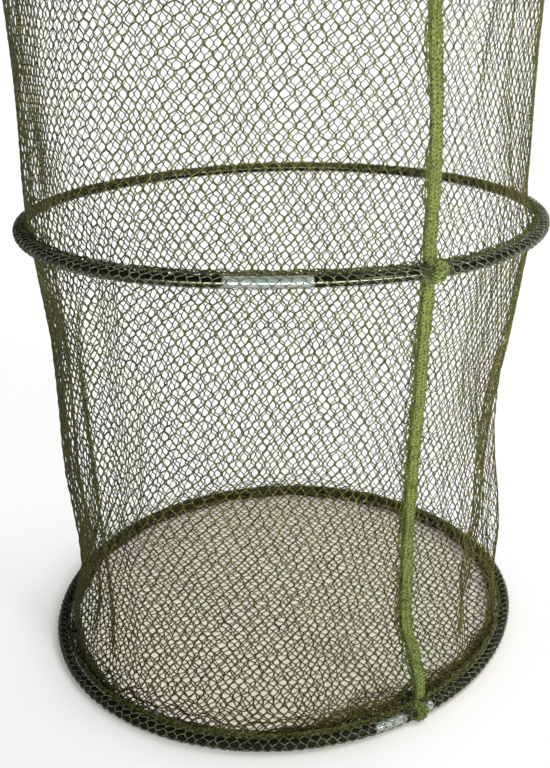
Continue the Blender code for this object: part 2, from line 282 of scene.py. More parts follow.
def strand_paths(first, last, half_rows):
    """The strands from first to last on the lattice. Each bounces between two half columns and
    lies beside its neighbour along every bar. Returns how to spread values from the nodes to all
    points, the nodes' half columns, the side that each strand has there, and the points' rows."""
    strand = np.arange(first, last)[:, None]
    row = np.arange(half_rows + 1)[None]
    even = row % 2 == 0
    node = np.where(even, 2 * ((strand + 1) // 2), 2 * (strand // 2) + 1)
    side = np.where(node == strand, 1.0, -1.0)
    step, ease = np.array(LEG_STEPS), np.array(LEG_EASE)

    def spread(values):
        legs = values[:, :-1, None] * (1 - ease) + values[:, 1:, None] * ease
        return np.concatenate([legs.reshape(len(values), -1), values[:, -1:]], 1)

    place = np.concatenate([(np.arange(half_rows)[:, None] + step).ravel(), [half_rows]])
    return spread, node, side, np.broadcast_to(place, (last - first, place.size))


def netting(surface, first, last, half_rows, seed, columns, yarn, jitter=(0.045, 0.07), kept=None,
            fuller=LOWER_FULL):
    """The strands of one stretch of net on a surface, which takes lattice places to points."""
    spread, node, side, place = strand_paths(first, last, half_rows)
    draw = np.random.RandomState(seed)
    uneven = draw.normal(0, 1, (2, 2 * columns, half_rows + 1)) * np.array(jitter)[:, None, None]
    rows = np.arange(half_rows + 1)[None]
    shift = uneven[:, node % (2 * columns), rows]
    column = spread(node / 2 + side * BAR_SIDE + shift[0])
    row = place + spread(shift[1]) * np.sin(np.pi * np.clip(place / half_rows, 0, 1)) ** EDGE_HOLD
    here = surface(column, row)
    across = surface(column + LATTICE_STEP, row) - here
    up = surface(column, row + LATTICE_STEP) - here
    normal = unit(np.cross(across, up))
    centres = here + normal * (spread(side) * BAR_STAGGER)[..., None]
    if kept is not None:
        kept = kept(centres)
    full = yarn * by_azimuth(fuller, np.arctan2(centres[..., 0], -centres[..., 1]))
    return strands(centres, normal, full, full * YARN_FLATNESS, kept)


def layered(surfaces, spans, half_rows, seed, columns, yarn, jitter, fuller=LOWER_FULL):
    """Net in layers, each on its own surface, from one azimuth to another in degrees."""
    return joined(*(netting(
        surface, *(round(columns * end / 180) for end in span), half_rows, seed + layer, columns, yarn,
        jitter, fuller=fuller) for layer, (surface, span) in enumerate(zip(surfaces, spans))))


def wander(seed, azimuth, height, size, slowest=2, fastest=14, waves=40.0, count=8):
    """Seeded smooth unevenness of hand-hung net, as a sum of slow waves round and up it."""
    draw = np.random.RandomState(seed)
    total = 0.0
    for _ in range(count):
        around = draw.randint(slowest, fastest)
        up = draw.uniform(-waves, waves)
        total = total + np.sin(around * azimuth + up * height + draw.uniform(0, TURN))
    return size * total / math.sqrt(count / 2)


# ---- Walls ----

# Where the back, left, front, right and again the back of a wall are, in degrees
SIDE_PLACES = (-180, -85, 0, 80, 180)
# Under its tape, the lower wall is turned to the left, so that the tape is seen broad
TAPE_TURN_WIDTH = math.radians(4.5)
TAPE_TURN_SHARES = ((0, 0), (0.12, 1), (0.5, 0.8), (0.95, 0))

# Each wall, with the hoop it hangs from and its strands. Its draw is how far it hangs inside its
# hoops, in millimetres at some shares of its height, on four sides. Its leans are the degrees that
# its mesh leans to the right on its way up, by azimuth. Its folds have degrees of azimuth by share
# of the height, millimetres of depth by share, how many degrees wide they are to the left and to
# the right, and how much they crowd the strands. Its tape's line is in degrees of azimuth by share,
# and its edges are how wide the net's edges lie beside the tape, by share.
UPPER = SimpleNamespace(
    name="upper", hoop="mouth", columns=140, half_rows=60, seed=31, yarn=0.00041, tape_turn=0.0,
    fuller=(
        (-150, 1.1), (-105, 1), (-86, 1.05), (-70, 1.4), (-50, 1.55), (-20, 1.2), (0, 1), (90, 1),
        (140, 1.05)),
    draw=(
        (0, 0.03, 0.07, 0.163, 0.257, 0.35, 0.445, 0.49, 0.7, 1), {
            "back": (0, 0.4, 0.9, 1.9, 2.7, 3.2, 3.4, 3.5, 2.9, 0),
            "left": (0, 0.2, 0.2, 0.2, 0.2, 0.2, 0.2, 0.2, 0.5, 0),
            "front": (0, 0.4, 0.9, 1.9, 2.7, 3.2, 3.4, 3.5, 2.9, 0),
            "right": (0, 6.0, 8.0, 8.2, 8.6, 8.0, 5.6, 3.0, 2.0, 0),
        }),
    leans=((-90, 7), (-30, 9), (25, 10), (60, 8), (100, 4), (180, -3), (250, 2)),
    folds=(
        (((0, 38), (0.2, 42), (0.43, 50), (1, 66)), ((0, 7),), (5, 15), 0.2),
        (((0, 92), (0.5, 94), (1, 98)), ((0, 7),), (8, 10), 0.05),
        (((0, -84), (1, -78)), ((0, 2),), (5, 5), 0.25),
        (((0, -52), (1, -56)), ((0, 0),), (28, 26), 0.52),
    ),
    tape_line=((0, 29), (0.04, 29.3), (0.143, 30.2), (0.28, 29.9), (0.43, 28.7), (0.7, 28.4), (1, 29.4)),
    edges=((0, 0.4), (0.3, 0.5), (1, 0.6)))
LOWER = SimpleNamespace(
    name="lower", hoop="middle", columns=150, half_rows=66, seed=32, yarn=0.00050, tape_turn=0.0030,
    fuller=LOWER_FULL,
    draw=(
        (0, 0.08, 0.166, 0.251, 0.337, 0.422, 0.507, 0.592, 0.678, 0.763, 0.848, 1), {
            "back": (0, 4.0, 6.0, 7.5, 8.5, 8.5, 8.0, 7.5, 6.5, 5.5, 4.5, 0),
            "left": (0, 9.0, 17.0, 17.5, 14.5, 10.5, 9.0, 9.6, 10.2, 10.2, 7.0, 0),
            "front": (0, 12.0, 15.0, 15.5, 14.8, 13.5, 11.9, 10.2, 8.5, 6.6, 4.7, 0),
            "right": (0, 4.6, 7.0, 6.4, 8.6, 12.8, 15.5, 15.0, 12.5, 8.0, 5.0, 0),
        }),
    leans=((-90, 0), (-45, 0), (-25, 6), (-8, 9), (10, 10), (24, 14), (50, 8), (110, 2), (180, -2)),
    folds=(
        (((0, 58), (0.16, 64), (0.23, 67.5), (0.35, 71.5), (0.51, 75), (0.71, 76.5), (0.84, 76), (1, 78)),
         ((0, 14), (0.16, 25), (0.23, 23), (0.35, 18), (0.51, 12), (0.71, 8.5), (0.84, 8), (1, 7)),
         (7.5, 4.5), 0.15),
        (((0, 93), (1, 96)), ((0, 8),), (8, 12), 0.1),
        (((0, -122), (1, -114)), ((0, 6),), (9, 9), 0.3),
        (((0, -60), (0.5, -64), (1, -70)), ((0, 2.5),), (6, 6), 0.2),
        (((0, -48), (1, -50)), ((0, 0),), (26, 26), 0.42),
    ),
    tape_line=(
        (0, 33.2), (0.04, 35.6), (0.12, 34.2), (0.2, 31.2), (0.257, 30.9), (0.385, 30.8), (0.56, 30.6),
        (0.732, 30.3), (0.877, 29.5), (1, 29.1)),
    edges=((0, 1.3), (0.5, 1.1), (0.7, 0.85), (0.9, 0.8), (1, 0.5)))

# Small unevenness. It fades out near the hoops, and most of the fine part is gone on the right.
SLACK_REACH = 0.04
FINE_WAVES = (14, 44, 20)
SWAY = 0.0016
LIFT = 0.0012
CALM = 0.7
CALM_AZIMUTH = math.radians(60)
CALM_REACH = math.radians(32)
GATHER_COUNT = 61
GATHER_REACH = 0.014
GATHER_SIZE = 0.0008
GATHER_MORE = 0.0006
GATHER_AZIMUTH = math.radians(75)
GATHER_WIDTH = 0.6


def folded(azimuth, share, folds):
    """How far the leaning folds draw a wall in, and how far they pull its columns together."""
    hang = np.sin(np.pi * np.clip(share, 0, 1)) ** 0.5
    depth, pull = 0.0, 0.0
    for line, deep, width, crowding in folds:
        away = wrapped(azimuth - along_line(line, share))
        near = np.exp(-((away / np.radians(np.where(away < 0, *width))) ** 2))
        depth = depth + by_share(deep, share) * MM * near * hang
        pull = pull + crowding * away * near * hang
    return depth, pull


LINE_SHARES = np.linspace(-0.1, 1.1, 241)
LINE_BLUR = 6


def along_line(line, share):
    """The azimuth, at some shares of a wall's height, of a line drawn on it by a few points."""
    blur = 2 * LINE_BLUR + 1
    bend = np.convolve(by_share(line, LINE_SHARES), np.ones(blur) / blur, mode="valid")
    return np.radians(np.interp(share, LINE_SHARES[LINE_BLUR:-LINE_BLUR], bend))


def wall_radius(wall, azimuth, share):
    """The radius of a wall with its draw, its folds and the turn under its tape."""
    shares, sides = wall.draw
    turn = np.interp(np.degrees(wrapped(azimuth)), SIDE_PLACES, range(len(SIDE_PLACES)))
    inset = 0.0
    for number, side in enumerate((*sides, "back")):
        weight = np.clip(1 - np.abs(turn - number), 0, 1)
        inset = inset + (0.5 - 0.5 * np.cos(np.pi * weight)) * np.interp(share, shares, sides[side]) * MM
    away = wrapped(azimuth - along_line(wall.tape_line, share)) / TAPE_TURN_WIDTH
    turned = wall.tape_turn * away * np.exp(-(away**2)) * by_share(TAPE_TURN_SHARES, share)
    return WALL_EDGE_RADIUS - inset - folded(azimuth, share, wall.folds)[0] + turned


def hung(wall, column, share):
    """A column's azimuth, which drifts to one side on its way up as the slack net hangs askew, and
    is pulled into the folds."""
    azimuth = TURN * column / wall.columns
    lean = np.interp(np.degrees(azimuth), *zip(*wall.leans), period=360)
    azimuth = azimuth + np.tan(np.radians(lean)) * (share - 0.5) * WALL_HEIGHT / WALL_EDGE_RADIUS
    return azimuth - folded(azimuth, share, wall.folds)[1]


def unrest(azimuth):
    """Share of the small unevenness that is left round the net. It hangs smoother on the right."""
    return 1 - CALM * np.exp(-((wrapped(azimuth - CALM_AZIMUTH) / CALM_REACH) ** 2))


def gathers(azimuth, from_hoop):
    """Small pleats where the hem draws the wall together, larger on the right."""
    size = GATHER_SIZE + GATHER_MORE * np.exp(-(wrapped(azimuth - GATHER_AZIMUTH) / GATHER_WIDTH) ** 2)
    swing = np.sin(GATHER_COUNT * azimuth + wander(5, azimuth, 0, 1.5))
    return size * swing * np.exp(-from_hoop / GATHER_REACH)


def upper_wall(column, row):
    share = row / UPPER.half_rows
    azimuth = hung(UPPER, column, share)
    height = WALL_EDGE_RISE - HOOP_SPACING + WALL_HEIGHT * share
    from_hoop = np.minimum(share, 1 - share) * WALL_HEIGHT
    slack = np.minimum(from_hoop / SLACK_REACH, 1)
    radius = wall_radius(UPPER, azimuth, share) + gathers(azimuth, from_hoop)
    radius = radius + wander(1, azimuth, height, 0.0009) * slack
    radius = radius + wander(4, azimuth, height, 0.0006, *FINE_WAVES) * slack * unrest(azimuth)
    sway = wander(2, azimuth, height, SWAY) * slack / HOOP_RADIUS
    return at(azimuth + sway, radius, height + wander(3, azimuth, height, LIFT) * slack)


# The foot of the lower wall: millimetres from its edge in to its crease, by azimuth, and the half
# rows of mesh that lie flat and that stand in the crease
CREASE = (
    (-120, 2.5), (-100, 2), (-88, 2.5), (-76, 6.5), (-65, 9), (-54, 6.5), (-44, 4), (-20, 6.5), (0, 9),
    (12, 12), (22, 15), (32, 14), (45, 11), (62, 8), (80, 5.5), (100, 3.5), (180, 3))
FLAT_HALF_ROWS = 3
FOOT_HALF_ROWS = 16
FOOT_LOOPS = 2.2
FOOT_LOOP_SIZE = 0.0021
FOOT_BEND = 1.7
FOOT_START = HOOP_HEIGHTS["base"] - 0.001
GROUND = FLOOR + 0.0012
CRUMPLE_HEIGHT = 0.006
CRUMPLE = 0.0010
# Share of the lower wall's height by half row: many rows lie slack at its foot
LOWER_ROWS = ((0, 0), (FOOT_HALF_ROWS, 0.052), (39, 0.54), (LOWER.half_rows, 1))


def foot(azimuth, row, radius, height):
    """The slack end of the lower wall: flat on the ground from the hoop in, then heaped in a
    crease, then up. Takes the place that the plain wall has there and returns the slack one."""
    crease = WALL_EDGE_RADIUS - by_azimuth(CREASE, azimuth) * MM + wander(15, azimuth, 0, 0.0012, 6, 24)
    flat = np.clip(row / FLAT_HALF_ROWS, 0, 1)
    rise = np.clip((row - FLAT_HALF_ROWS) / (FOOT_HALF_ROWS - FLAT_HALF_ROWS), 0, 1)
    up = rise ** FOOT_BEND
    loops = TURN * FOOT_LOOPS * rise + wander(16, azimuth, 0, 1.3, 8, 60)
    heap = FOOT_LOOP_SIZE * np.sin(np.pi * rise) ** 0.5
    low_radius = WALL_EDGE_RADIUS + (crease - WALL_EDGE_RADIUS) * flat
    low_height = FOOT_START + (GROUND - FOOT_START) * np.sqrt(flat)
    slack_radius = low_radius + (radius - low_radius) * up + heap * np.cos(loops)
    slack_height = low_height + (height - low_height) * up + heap * (1 + np.sin(loops))
    inside = row < FOOT_HALF_ROWS
    return np.where(inside, slack_radius, radius), np.where(inside, slack_height, height)


def lower_wall(column, row):
    share = by_share(LOWER_ROWS, row)
    azimuth = hung(LOWER, column, share)
    height = WALL_EDGE_RISE - 2 * HOOP_SPACING + WALL_HEIGHT * share
    from_top, from_base = (1 - share) * WALL_HEIGHT, share * WALL_HEIGHT
    slack = np.minimum(np.minimum(from_top, from_base) / SLACK_REACH, 1)
    radius = wall_radius(LOWER, azimuth, share) + gathers(azimuth, from_top)
    radius = radius + wander(6, azimuth, height, 0.0010) * slack
    radius = radius + wander(9, azimuth, height, 0.0008, *FINE_WAVES) * slack * unrest(azimuth)
    height = height + wander(8, azimuth, height, LIFT) * slack
    crumple = CRUMPLE * np.exp(-((from_base - CRUMPLE_HEIGHT) / CRUMPLE_HEIGHT) ** 2)
    sway = wander(7, azimuth, height, SWAY) * slack + crumple * wander(12, azimuth, 0, 1, 20, 60)
    return at(azimuth + sway / HOOP_RADIUS, *foot(azimuth, row, radius, height))


# ---- Hems: net turned round a hoop ----

HEM_COLUMNS = 158
HEM_HALF_ROWS = 6
HEM_REACH = 0.00432
HEM_LOW_ANGLE = math.radians(-213)
HEM_HIGH_ANGLE = math.radians(142)
HEM_TO_SEAM = 0.0022
HEM_SKEW = -0.0026 / HOOP_RADIUS


def hem_surface(height, seed):
    """Net turned round the tube from below, nearly all the way. Its ends leave for the seam."""
    def hem(column, row):
        azimuth = TURN * column / HEM_COLUMNS
        turn = HEM_LOW_ANGLE + (HEM_HIGH_ANGLE - HEM_LOW_ANGLE) * row / HEM_HALF_ROWS
        turn = turn + wander(seed, azimuth, 0, 0.10, 9, 50)
        slide = wander(seed + 9, azimuth, 3 * turn, 0.0022, 9, 60)
        azimuth = azimuth + HEM_SKEW * np.sin(azimuth) * turn + slide
        off_tube = np.clip((turn - 1.7) / 0.8, 0, 1) + np.clip((-2.9 - turn) / 0.8, 0, 1)
        reach = HEM_REACH + HEM_TO_SEAM * off_tube
        return at(azimuth, HOOP_RADIUS + reach * np.cos(turn), height + reach * np.sin(turn))

    return hem


# ---- Bottom net ----

BOTTOM_COLUMN = 0.0076
BOTTOM_HALF_ROW = 0.0054
BOTTOM_RADIUS = 0.1935
BOTTOM_RISE = 0.0006
BOTTOM_SKEW = 0.03
BOTTOM_ROWS = 2 * math.ceil(BOTTOM_RADIUS / BOTTOM_HALF_ROW)
BOTTOM_COLUMNS = math.ceil(BOTTOM_RADIUS / BOTTOM_COLUMN) + 1


def bottom_surface(column, row):
    x = column * BOTTOM_COLUMN
    y = (row - BOTTOM_ROWS / 2) * BOTTOM_HALF_ROW
    drift = wander(21, np.arctan2(x, -y), y, 0.0009)
    return np.stack([x + drift, y + BOTTOM_SKEW * x, np.full_like(x, FLOOR + BOTTOM_RISE)], -1)


def inside_bottom(centres):
    return np.hypot(centres[..., 0], centres[..., 1]) < BOTTOM_RADIUS


# ---- Gathered seams ----

SEAM_OUT = -0.0051
SEAM_LOW = 0.0008
SEAM_HIGH = 0.0056
SEAM_COLUMNS = 160
SEAM_HALF_ROWS = 3
SEAM_SPANS = ((-180, 180), (-180, 180), (-75, 75))


def seam_surface(height, seed, layer):
    """The hem's raw edge: net bunched on the inside of the hoop, in loose layers."""
    def seam(column, row):
        azimuth = TURN * (column + 0.5 * layer) / SEAM_COLUMNS
        share = row / SEAM_HALF_ROWS
        crowd = wander(seed + layer, azimuth, 0, 0.0016, 20, 110) / HOOP_RADIUS
        ragged = wander(seed + 7 + layer, azimuth, 0, 0.0006, 20, 150)
        rise = SEAM_LOW + (SEAM_HIGH - SEAM_LOW) * share + ragged
        swing = 57 * layer + 2.4 * row + 3 * wander(seed + 3, azimuth, 0, 1, 9, 60)
        out = SEAM_OUT - 0.0006 * layer + 0.0008 * np.sin(swing)
        return at(azimuth + crowd, HOOP_RADIUS + out, height + rise)

    return seam


BUNCH_COLUMNS = 150
BUNCH_SPAN = (-104, 94)
BUNCH_HALF_ROWS = 7


def bunch_surface(column, row):
    """Slack net heaped along the crease at the foot of the lower wall."""
    azimuth = TURN * column / BUNCH_COLUMNS
    share = row / BUNCH_HALF_ROWS
    inset = by_azimuth(CREASE, azimuth) * MM
    roll = TURN * 1.6 * share + wander(85, azimuth, 0, 1.6, 8, 60)
    reach = 0.0026 + wander(81, azimuth, 0, 0.0006, 6, 30)
    to_front = np.exp(-(wrapped(azimuth - math.radians(10)) / 0.6) ** 2)
    out = -0.0063 - inset * (1 - 0.25 * to_front) + reach * (1 + to_front) * np.cos(roll)
    out = out + 0.003 * (share - 0.5)
    rise = FLOOR + 0.0030 + 0.0022 * np.sin(roll)
    crowd = wander(88, azimuth, 0, 0.003, 12, 70) / HOOP_RADIUS
    return at(azimuth + crowd + 0.004 * np.sin(3.1 * row), HOOP_RADIUS + out, rise)


# Slack net that lies in wrinkles at the tape's foot: millimetres wide, by azimuth
HEAP = (
    (-25, 0), (-5, 8), (8, 17), (15, 30), (22, 35), (31, 31), (38, 27), (44, 21), (52, 14), (66, 8),
    (84, 0))
HEAP_COLUMNS = 130
HEAP_SPAN = (-14, 78)
HEAP_HALF_ROWS = 8
HEAP_LAYERS = 2


def heap_surface(seed):
    def heap(column, row):
        azimuth = TURN * column / HEAP_COLUMNS
        share = row / HEAP_HALF_ROWS
        width = by_azimuth(HEAP, azimuth) * MM
        ragged = 1 + wander(seed, azimuth, 0, 0.12, 12, 70)
        inward = 0.0058 + width * share * ragged
        wrinkle = 0.5 + 0.5 * np.sin(9 * share + wander(seed + 1, azimuth, 0, 1.8, 8, 50))
        rise = 0.0016 + 0.0022 * wrinkle + 0.28 * width * np.sin(np.pi * share) * (0.4 + 0.6 * wrinkle)
        crowd = wander(seed + 2, azimuth, 0, 0.0022, 12, 60) / HOOP_RADIUS
        return at(azimuth + crowd, HOOP_RADIUS - inward, FLOOR + rise)

    return heap


def overlock_thread(height, seed, turns, out, lift):
    """A thread that whips the gathered edge, over and over round its top."""
    steps = turns * 6 + 1
    azimuth = TURN * np.linspace(0, 1, steps)
    spin = TURN * turns * np.linspace(0, 1, steps) + wander(seed, azimuth, 0, 0.8, 9, 80)
    reach = 0.0016 + wander(seed + 1, azimuth, 0, 0.0003, 20, 120)
    radius = HOOP_RADIUS + out + reach * 0.8 * np.cos(spin)
    centres = at(azimuth, radius, height + lift + reach * 1.4 * np.sin(spin))[None]
    normals = unit(at(azimuth, np.cos(spin) + 1e-6, np.sin(spin)))[None]
    return strands(centres, normals, 0.00030, 0.00026)


# ---- Knitted tape ----

TAPE_WIDTH = 0.0095
TAPE_WALES = 3
TAPE_STITCH = 0.0026
TAPE_STAND_OFF = 0.0010
TAPE_ENDS = (0.010, 0.988)
TAPE_STEP = 0.00052
TAPE_POINTS = 27


def lumps(shape, seed, blur):
    """An even grid of seeded soft lumps of about unit height, for loose and matted stitches."""
    grid = np.random.RandomState(seed).normal(0, 1, shape)
    for axis, reach in enumerate(blur):
        kernel = np.exp(-0.5 * (np.arange(-3 * reach, 3 * reach + 1) / reach) ** 2)
        grid = np.apply_along_axis(
            lambda line: np.convolve(line, kernel)[3 * reach:3 * reach + len(line)], axis, grid)
    return grid / grid.std()


def stitches(across, along, wales, stitch):
    """Height of a chain-stitched face, 0 to 1: wales side by side, each a row of V stitches."""
    along = along + 0.4 * stitch * np.sin(1.7 * across + along / (2.3 * stitch))
    wale = (across * 0.5 + 0.5) * wales
    from_middle = 2 * (wale - np.floor(np.clip(wale, 0, wales - 1e-6))) - 1
    barrel = np.sqrt(np.clip(1 - (0.92 * from_middle) ** 2, 0, 1))
    vee = 0.5 + 0.5 * np.cos(TURN * (along / stitch + 0.62 * np.abs(from_middle)))
    return barrel * (0.45 + 0.55 * vee)


def knitted_tape(wall, low_height):
    """Tape down the outside of a wall, following the net's own surface."""
    low_share, high_share = TAPE_ENDS
    count = round(WALL_HEIGHT * (high_share - low_share) / TAPE_STEP)
    share = np.linspace(low_share, high_share, count)[:, None]
    across = np.linspace(-1, 1, TAPE_POINTS)[None]
    along = share * WALL_HEIGHT
    loose = lumps((count, TAPE_POINTS), 17, (2, 2))
    ragged = 1 + 0.04 * np.cos(TURN * along / TAPE_STITCH) + 0.08 * lumps((count, 1), 18, (6, 1))
    half = TAPE_WIDTH / 2 * ragged
    height = low_height + along
    around = along_line(wall.tape_line, share) + across * half / WALL_EDGE_RADIUS
    radius = wall_radius(wall, around, share) + TAPE_STAND_OFF
    thick = 0.0006 + 0.0009 * stitches(across, along, TAPE_WALES, TAPE_STITCH) + 0.00030 * loose
    return shell(at(around, radius + np.maximum(thick, 0.0004), height), at(around, radius, height))


EDGE_ENDS = (0.012, 0.988)
EDGE_HALF_ROWS = 78
EDGE_START = 0.0036
EDGE_STAND_OFF = 0.0012
EDGE_DRAWS = 12
# Strands in each layer, and how far apart they lie
EDGE_LAYERS = ((9, 0.00055), (8, 0.0016))


def net_edges(wall, low_height):
    """The two edges of the net, ragged along the left of the seam tape in two layers."""
    low_share, high_share = EDGE_ENDS
    seed = wall.seed + 5

    def edge(column, row, pitch):
        share = low_share + (high_share - low_share) * row / EDGE_HALF_ROWS
        spread = pitch * (1 + wander(seed, 0, share * WALL_HEIGHT, 0.35, 1, 2, 160))
        spread = spread * by_share(wall.edges, share)
        azimuth = along_line(wall.tape_line, share) - (EDGE_START + spread * column) / WALL_EDGE_RADIUS
        ruffle = 0.0008 * np.sin(3 * column + row)
        radius = wall_radius(wall, azimuth, share) + EDGE_STAND_OFF + ruffle
        return at(azimuth, radius, low_height + share * WALL_HEIGHT)

    return joined(*(netting(
        lambda column, row: edge(column, row, pitch), 0, count, EDGE_HALF_ROWS, seed + count,
        EDGE_DRAWS, LOOSE_YARN, (0.8, 0.5)) for count, pitch in EDGE_LAYERS))


LASHING_GRID = (110, 31)
# The tape's end that shows under the hem, beside the lashing
TAIL_SHIFT = 0.0085 / HOOP_RADIUS
TAIL = {"width": 0.011, "bore": TUBE_RADIUS, "reach": TUBE_RADIUS + 0.0002, "loft": 0.35}


def lashing(height, azimuth, low, width=LASHING_WIDTH, bore=LASHING_BORE, reach=LASHING_RADIUS, loft=1.0):
    """Tape wrapped tight round the hoop, with its knitted face outwards."""
    turns, points = LASHING_GRID
    across = np.linspace(-1, 1, points)[None]
    turn = np.linspace(low, LASHING_HIGH, turns)[:, None]
    arc = reach * turn
    ragged = 1 + 0.08 * np.cos(TURN * arc / TAPE_STITCH) + 0.09 * np.sin(TURN * arc / 0.009)
    place = azimuth + (across * ragged * width / 2 + 0.0010 * np.sin(2.3 * turn)) / HOOP_RADIUS
    ends = np.sin(np.pi * np.clip((turn - low) / (LASHING_HIGH - low), 0, 1)) ** 0.3
    matted = lumps(LASHING_GRID, round(1000 * azimuth), (2, 2))
    face = stitches(across, arc, TAPE_WALES, TAPE_STITCH)
    thick = loft * (0.0006 + 0.0009 * face + 0.0005 * matted) * ends
    over_seam = 0.0030 * np.clip(turn - 1.6, 0, 1) ** 2
    inner = bore + over_seam
    body = reach - 0.0010 * loft + thick + 0.0009 * loft * np.cos(1.5 * across) - bore
    outer = inner + np.maximum(body * (1 - across**6), 0.00015)
    return shell(*(
        at(place, HOOP_RADIUS + skin * np.cos(turn), height + skin * np.sin(turn))
        for skin in (outer, inner)))


# ---- Hoops ----

RIM = 0.0003


def round_bar(height, start, end, radius, bore, steps_per_turn=360, sides=24):
    """A bar or tube bent to the hoop, from one azimuth to another, with rounded rims."""
    steps = max(12, round((end - start) / TURN * steps_per_turn))
    azimuth = np.linspace(start, end, steps)
    turn = TURN * np.arange(sides) / sides

    def ring(place, reach):
        return at(place, HOOP_RADIUS + reach * np.cos(turn), height + reach * np.sin(turn))

    shy = RIM / HOOP_RADIUS
    profile = [(start, bore), (start, radius - RIM)]
    profile += [(place, radius) for place in (start + shy, *azimuth[1:-1], end - shy)]
    profile += [(end, radius - RIM), (end, bore)]
    if bore > 0:
        profile += [(place, bore) for place in azimuth[::-1][1:-1]]
    rings = np.array([ring(place, max(reach, 1e-5)) for place, reach in profile])
    index = np.arange(rings.shape[0] * sides).reshape(-1, sides)
    if bore > 0:
        index = np.concatenate([index, index[:1]])
    after = np.roll(index, -1, axis=1)
    faces = np.stack([index[:-1], index[1:], after[1:], after[:-1]], -1).reshape(-1, 4)
    count = len(profile)
    u = np.broadcast_to(np.arange(len(index))[:, None] / count, index.shape)
    v = np.broadcast_to(np.arange(sides)[None] / sides, index.shape)
    here, there = np.stack([u, v], -1), np.stack([u, v + 1 / sides], -1)
    uvs = np.stack([here[:-1], here[1:], there[1:], there[:-1]], -2).reshape(-1, 4, 2)
    return rings.reshape(-1, 3), faces, uvs


# ---- Materials ----

def colour(hex_code):
    """An sRGB hex colour as linear red, green, blue and alpha."""
    parts = [int(hex_code[place:place + 2], 16) / 255 for place in (1, 3, 5)]
    linear = [part / 12.92 if part <= 0.04045 else ((part + 0.055) / 1.055) ** 2.4 for part in parts]
    return (*linear, 1.0)


def feed(node, inputs):
    """Gives each of a node's inputs its value or colour, or links it to the node or output given."""
    for key, value in inputs.items():
        if isinstance(value, bpy.types.Node):
            value = next(output for output in value.outputs if output.enabled)
        if isinstance(value, bpy.types.NodeSocket):
            node.id_data.links.new(value, node.inputs[key])
        else:
            node.inputs[key].default_value = colour(value) if isinstance(value, str) else value


def add_node(tree, kind, inputs=None, **settings):
    """Adds a node with its settings, and what its inputs are fed."""
    made = tree.nodes.new("ShaderNode" + kind)
    for key, value in settings.items():
        setattr(made, key, value)
    feed(made, inputs or {})
    return made


def new_material(name, **sockets):
    """A material with its shader's constants. Returns it, what adds nodes to it, and its shader."""
    made = bpy.data.materials.new(name)
    made.use_nodes = True
    shader = made.node_tree.nodes["Principled BSDF"]
    feed(shader, {key.replace("_", " "): value for key, value in sockets.items()})
    return made, partial(add_node, made.node_tree), shader


# Inputs by number: a Map Range takes its value at 0, the range it comes from at 1 and 2, and the
# range it goes to at 3 and 4. A Mix takes its share and colours at these.
SHARE, MIX_A, MIX_B = 0, 6, 7
RGB = {"data_type": "RGBA"}
# Painted shade: the left of the net is darkened, as it lies away from the light
LEFT_SHADE_SHARE = 0.7
LEFT_SHADE_YARN = "#14150a"


def yarn_finish(name, dark, light, turns, plies, patch_mm, bump_mm, rough):
    """Nylon yarn: plies twisted round each other, drawn coarser than the real 1.2 mm pitch,
    which is finer than a pixel. Dye takes unevenly, so it goes from dark to light in patches."""
    made, add, shader = new_material(
        name, Roughness=rough, IOR=1.53, Sheen_Weight=0.06, Sheen_Roughness=0.5, Sheen_Tint="#c0c878",
        Specular_IOR_Level=0.15)
    spot = add("UVMap", uv_map="OFBake")
    twist = add("VectorMath", {0: spot, 1: (turns, plies, 0)}, operation="DOT_PRODUCT")
    turned = add("Math", {0: twist, 1: TURN}, operation="MULTIPLY")
    wave = add("Math", {0: turned}, operation="SINE")
    place = add("TexCoord").outputs["Object"]
    patch = add("TexNoise", {"Vector": place, "Scale": 1000 / patch_mm, "Detail": 3.0})
    speck = add("TexNoise", {"Vector": place, "Scale": 1000 / 1.3, "Detail": 2.0})
    both = add("Math", {0: patch, 1: speck}, operation="ADD")
    shaded = add("Math", {0: wave, 1: 0.22, 2: both}, operation="MULTIPLY_ADD")
    share = add("MapRange", {0: shaded, 1: 0.7, 2: 1.3})
    mixed = add("Mix", {SHARE: share, MIX_A: dark, MIX_B: light}, **RGB)
    # Painted shade: the yarn is darkened towards the left of the net, away from the light
    across = add("SeparateXYZ", {0: place})
    painted_shade = add("MapRange", {0: across.outputs["X"], 1: -HOOP_RADIUS, 2: 0.0, 3: LEFT_SHADE_SHARE, 4: 0.0})
    final = add("Mix", {SHARE: painted_shade, MIX_A: mixed, MIX_B: LEFT_SHADE_YARN}, **RGB)
    bump = add("Bump", {"Height": wave, "Strength": 0.6, "Distance": bump_mm * MM})
    feed(shader, {"Base Color": final, "Normal": bump})
    return made


